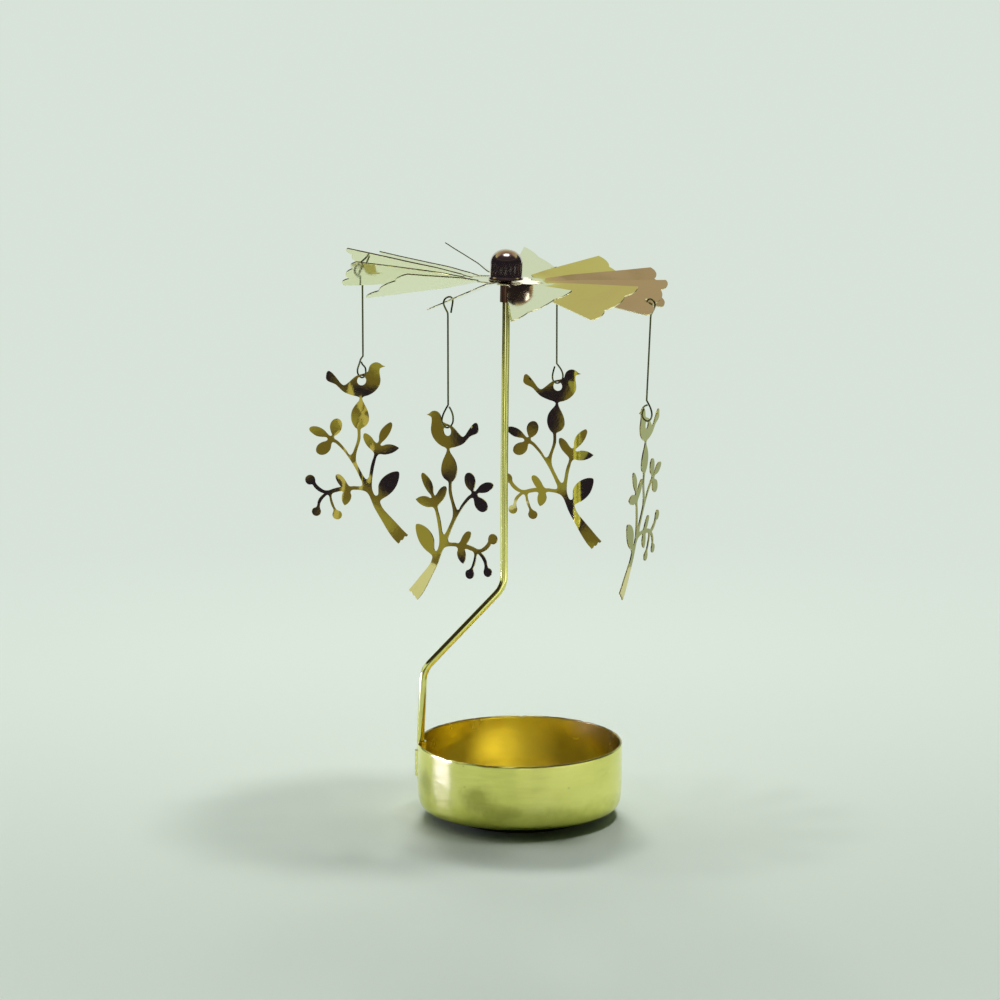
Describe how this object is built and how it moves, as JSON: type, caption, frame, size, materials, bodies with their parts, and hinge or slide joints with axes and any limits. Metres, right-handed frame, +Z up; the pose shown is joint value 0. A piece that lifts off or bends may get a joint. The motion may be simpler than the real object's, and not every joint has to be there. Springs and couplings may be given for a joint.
{
  "type": "rotary tealight candlestick",
  "caption": "Round drip tray for a tealight with a bent wire post; a bladed fan turns on its tip in the warm air and carries hanging cut-out birds.",
  "frame": {"origin": "middle of the drip tray's underside, on the table", "axes": "+Z up; -Y is the front, as pictured; +X to the right, and the post is clipped to the tray's -X side"},
  "size_m": [0.1046, 0.0982, 0.1669],
  "materials": {
    "tray_brass": "polished yellow-green brass, pressed sheet",
    "post_brass": "polished drawn wire",
    "sleeve_brass": "polished, reddish brown reflections",
    "cap_brass": "mirror polished",
    "fan_brass": "mirror polished sheet",
    "hanger_wire": "bright thin wire",
    "ornament_brass": "mirror polished sheet"
  },
  "bodies": {
    "drip_tray": {"drip_tray": "tray_brass"},
    "post": {"support_post": "post_brass"},
    "rotor": {"fan_rotor": "fan_brass", "bearing_sleeve": "sleeve_brass", "dome_cap": "cap_brass"},
    "hanger_left": {"hanger_wire_left": "hanger_wire"},
    "ornament_left": {"bird_ornament_left": "ornament_brass"},
    "hanger_front": {"hanger_wire_front": "hanger_wire"},
    "ornament_front": {"bird_ornament_front": "ornament_brass"},
    "hanger_rear": {"hanger_wire_rear": "hanger_wire"},
    "ornament_rear": {"bird_ornament_rear": "ornament_brass"},
    "hanger_right": {"hanger_wire_right": "hanger_wire"},
    "ornament_right": {"bird_ornament_right": "ornament_brass"}
  },
  "joints": [
    {"name": "post_lift", "type": "slide", "parent": "drip_tray", "child": "post", "axis": [0, 0, 1], "range_m": [0, 0.009]},
    {"name": "rotor_spin", "type": "hinge", "parent": "post", "child": "rotor", "pos_m": [-0.004, 0, 0.1603], "axis": [0, 0, 1], "continuous": true},
    {"name": "hanger_left_swing", "type": "hinge", "parent": "rotor", "child": "hanger_left", "pos_m": [-0.04568, 0.01574, 0.16082], "axis": [-0.7361, -0.6769, 0], "range_deg": [-12, 12]},
    {"name": "ornament_left_twist", "type": "hinge", "parent": "hanger_left", "child": "ornament_left", "pos_m": [-0.04615, 0.01626, 0.12636], "axis": [0, 0, 1], "range_deg": [-20, 60]},
    {"name": "hanger_front_swing", "type": "hinge", "parent": "rotor", "child": "hanger_front", "pos_m": [-0.02008, -0.04145, 0.15759], "axis": [0.5678, -0.8231, 0], "range_deg": [-12, 12]},
    {"name": "ornament_front_twist", "type": "hinge", "parent": "hanger_front", "child": "ornament_front", "pos_m": [-0.02029, -0.0416, 0.12141], "axis": [0, 0, 1], "range_deg": [-60, 20]},
    {"name": "hanger_rear_swing", "type": "hinge", "parent": "rotor", "child": "hanger_rear", "pos_m": [0.01117, 0.04145, 0.15526], "axis": [-0.5388, 0.8425, 0], "range_deg": [-12, 12]},
    {"name": "ornament_rear_twist", "type": "hinge", "parent": "hanger_rear", "child": "ornament_rear", "pos_m": [0.01151, 0.04167, 0.12066], "axis": [0, 0, 1], "range_deg": [-80, 5]},
    {"name": "hanger_right_swing", "type": "hinge", "parent": "rotor", "child": "hanger_right", "pos_m": [0.03687, -0.01573, 0.15348], "axis": [0.6991, 0.7145, -0.0281], "range_deg": [-12, 12]},
    {"name": "ornament_right_twist", "type": "hinge", "parent": "hanger_right", "child": "ornament_right", "pos_m": [0.03577, -0.01601, 0.11891], "axis": [0, 0, 1], "range_deg": [-60, 20]}
  ]
}
